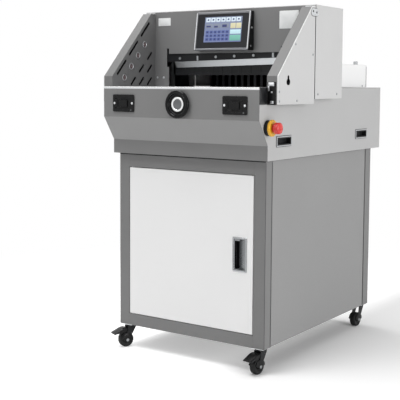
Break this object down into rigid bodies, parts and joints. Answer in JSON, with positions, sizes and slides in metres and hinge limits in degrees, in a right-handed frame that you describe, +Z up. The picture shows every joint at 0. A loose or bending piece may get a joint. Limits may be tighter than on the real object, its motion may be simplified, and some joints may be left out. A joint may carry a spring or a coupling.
{
  "type": "electric paper cutter",
  "caption": "Floor-standing electric guillotine for paper stacks: wheeled cabinet stand, casing with cut buttons, guarded head with inclined knife, clamp and motor back gauge.",
  "frame": {"origin": "on the floor under the middle of the machine's width and depth", "axes": "+X to the operator's right, +Y from the operator to the rear, +Z up"},
  "size_m": [0.776, 1.02, 1.309],
  "materials": {
    "dark_grey_enamel": "satin powder coat",
    "silver_enamel": "satin silver powder coat",
    "stand_enamel": "satin powder coat",
    "white_enamel": "semi-gloss white powder coat",
    "table_steel": "ground and polished",
    "knife_steel": "ground and honed",
    "machined_steel": "turned and milled",
    "black_enamel": "satin black",
    "cast_frame": "painted casting",
    "cast_aluminium": "milled",
    "chrome": "polished",
    "black_plastic": "moulded, fine texture",
    "red_plastic": "moulded, glossy",
    "yellow_plastic": "moulded, glossy",
    "stick_plastic": "extruded",
    "display": "lit display behind touch glass",
    "caster_rubber": "moulded tread"
  },
  "bodies": {
    "machine": {"stand_posts": "stand_enamel", "stand_rails": "stand_enamel", "stand_side_panels": "stand_enamel", "stand_rear_panel": "stand_enamel", "stand_floor": "stand_enamel", "door_hinge_pins": "machined_steel", "caster_plates": "machined_steel", "casing_tray": "silver_enamel", "casing_sides": "silver_enamel", "casing_front": "dark_grey_enamel", "side_grips": "black_plastic", "work_table": "table_steel", "cutting_stick": "stick_plastic", "left_wing_shell": "dark_grey_enamel", "right_wing_shell": "dark_grey_enamel", "wing_covers": "silver_enamel", "light_curtain_bars": "black_plastic", "head_frame": "cast_frame", "head_front_panel": "dark_grey_enamel", "head_side_covers": "silver_enamel", "head_hood": "silver_enamel", "screen_housing": "black_plastic", "screen_frame": "chrome", "touch_glass": "display", "button_plates": "black_plastic", "handwheel_base": "black_plastic", "estop_collar": "yellow_plastic", "knife_gearmotor": "cast_frame", "screw_motors": "cast_aluminium", "gauge_rods": "machined_steel", "rear_cover_pins": "machined_steel", "power_inlet": "black_plastic"},
    "stand_door": {"stand_door": "white_enamel", "door_pull": "chrome"},
    "rear_cover": {"rear_cover": "white_enamel"},
    "pull_link": {"pull_link": "machined_steel"},
    "knife": {"knife_carrier": "black_enamel", "knife_blade": "knife_steel", "knife_bolts": "machined_steel"},
    "crank": {"crank_arm": "machined_steel"},
    "clamp": {"clamp_beam": "black_enamel"},
    "clamp_screw": {"clamp_screw": "machined_steel"},
    "back_gauge": {"back_gauge": "cast_aluminium"},
    "gauge_screw": {"gauge_screw": "machined_steel"},
    "handwheel": {"handwheel": "black_plastic", "handwheel_cap": "chrome"},
    "left_button": {"left_cut_button": "black_plastic"},
    "right_button": {"right_cut_button": "black_plastic"},
    "estop": {"estop_button": "red_plastic"},
    "caster_front_left": {"caster_fork_front_left": "black_enamel"},
    "wheel_front_left": {"caster_wheel_front_left": "caster_rubber"},
    "caster_front_right": {"caster_fork_front_right": "black_enamel"},
    "wheel_front_right": {"caster_wheel_front_right": "caster_rubber"},
    "caster_rear_left": {"caster_fork_rear_left": "black_enamel"},
    "wheel_rear_left": {"caster_wheel_rear_left": "caster_rubber"},
    "caster_rear_right": {"caster_fork_rear_right": "black_enamel"},
    "wheel_rear_right": {"caster_wheel_rear_right": "caster_rubber"},
    "pedal_left": {"brake_pedal_left": "black_enamel"},
    "pedal_right": {"brake_pedal_right": "black_enamel"}
  },
  "joints": [
    {"name": "door_swing", "type": "hinge", "parent": "machine", "child": "stand_door", "pos_m": [-0.2655, -0.409, 0.42], "axis": [0, 0, -1], "range_deg": [0, 110]},
    {"name": "rear_cover_lift", "type": "hinge", "parent": "machine", "child": "rear_cover", "pos_m": [0, 0.065, 1.096], "axis": [1, 0, 0], "range_deg": [0, 75]},
    {"name": "knife_stroke", "type": "slide", "parent": "machine", "child": "pull_link", "axis": [-0.4376, 0, -0.8992], "range_m": [0, 0.08228]},
    {"name": "knife_level", "type": "hinge", "parent": "pull_link", "child": "knife", "pos_m": [-0.28, -0.146, 1.15], "axis": [0, 1, 0], "range_deg": [0, 1.36]},
    {"name": "crank_turn", "type": "hinge", "parent": "machine", "child": "crank", "pos_m": [-0.298, -0.119, 0.83301], "axis": [0, 1, 0], "range_deg": [0, 180.5]},
    {"name": "clamp_press", "type": "slide", "parent": "machine", "child": "clamp", "axis": [0, 0, -1], "range_m": [-0.024, 0.0455]},
    {"name": "clamp_screw_turn", "type": "hinge", "parent": "machine", "child": "clamp_screw", "pos_m": [0, -0.117, 1.15], "axis": [0, 0, 1], "range_deg": [-1450, 2740]},
    {"name": "gauge_travel", "type": "slide", "parent": "machine", "child": "back_gauge", "axis": [0, 1, 0], "range_m": [-0.167, 0.276]},
    {"name": "gauge_screw_turn", "type": "hinge", "parent": "machine", "child": "gauge_screw", "pos_m": [0, 0.108, 0.975], "axis": [0, 1, 0], "range_deg": [-6020, 9950]},
    {"name": "handwheel_turn", "type": "hinge", "parent": "machine", "child": "handwheel", "pos_m": [0.007, -0.504, 0.95], "axis": [0, 1, 0], "continuous": true},
    {"name": "left_button_press", "type": "slide", "parent": "machine", "child": "left_button", "axis": [0, 1, 0], "range_m": [0, 0.003], "stiffness_N_per_m": 800},
    {"name": "right_button_press", "type": "slide", "parent": "machine", "child": "right_button", "axis": [0, 1, 0], "range_m": [0, 0.003], "stiffness_N_per_m": 800},
    {"name": "estop_press", "type": "slide", "parent": "machine", "child": "estop", "axis": [-1, 0, 0], "range_m": [0, 0.006]},
    {"name": "swivel_front_left", "type": "hinge", "parent": "machine", "child": "caster_front_left", "pos_m": [-0.295, -0.387, 0.08], "axis": [0, 0, 1], "continuous": true},
    {"name": "roll_front_left", "type": "hinge", "parent": "caster_front_left", "child": "wheel_front_left", "pos_m": [-0.30464, -0.40677, 0.029], "axis": [0.8988, -0.4384, 0], "continuous": true},
    {"name": "swivel_front_right", "type": "hinge", "parent": "machine", "child": "caster_front_right", "pos_m": [0.295, -0.387, 0.08], "axis": [0, 0, 1], "continuous": true},
    {"name": "roll_front_right", "type": "hinge", "parent": "caster_front_right", "child": "wheel_front_right", "pos_m": [0.29232, -0.40884, 0.029], "axis": [0.9925, -0.1219, 0], "continuous": true},
    {"name": "swivel_rear_left", "type": "hinge", "parent": "machine", "child": "caster_rear_left", "pos_m": [-0.295, 0.427, 0.08], "axis": [0, 0, 1], "continuous": true},
    {"name": "roll_rear_left", "type": "hinge", "parent": "caster_rear_left", "child": "wheel_rear_left", "pos_m": [-0.30032, 0.40565, 0.029], "axis": [0.9703, -0.2419, 0], "continuous": true},
    {"name": "swivel_rear_right", "type": "hinge", "parent": "machine", "child": "caster_rear_right", "pos_m": [0.295, 0.427, 0.08], "axis": [0, 0, 1], "continuous": true},
    {"name": "roll_rear_right", "type": "hinge", "parent": "caster_rear_right", "child": "wheel_rear_right", "pos_m": [0.29308, 0.40508, 0.029], "axis": [0.9962, -0.0872, 0], "continuous": true},
    {"name": "brake_left", "type": "hinge", "parent": "caster_front_left", "child": "pedal_left", "pos_m": [-0.29938, -0.39599, 0.0732], "axis": [0.8988, -0.4384, 0], "range_deg": [-10, 0]},
    {"name": "brake_right", "type": "hinge", "parent": "caster_front_right", "child": "pedal_right", "pos_m": [0.29378, -0.39692, 0.0732], "axis": [0.9925, -0.1219, 0], "range_deg": [-10, 0]}
  ],
  "couplings": [
    {"joint": "knife_level", "follows": "knife_stroke", "rad_per_m": 0.28638},
    {"joint": "crank_turn", "follows": "knife_stroke", "rad_per_m": 38.184},
    {"joint": "clamp_screw_turn", "follows": "clamp_press", "rad_per_m": 1047.2},
    {"joint": "gauge_screw_turn", "follows": "gauge_travel", "rad_per_m": 628.32}
  ]
}
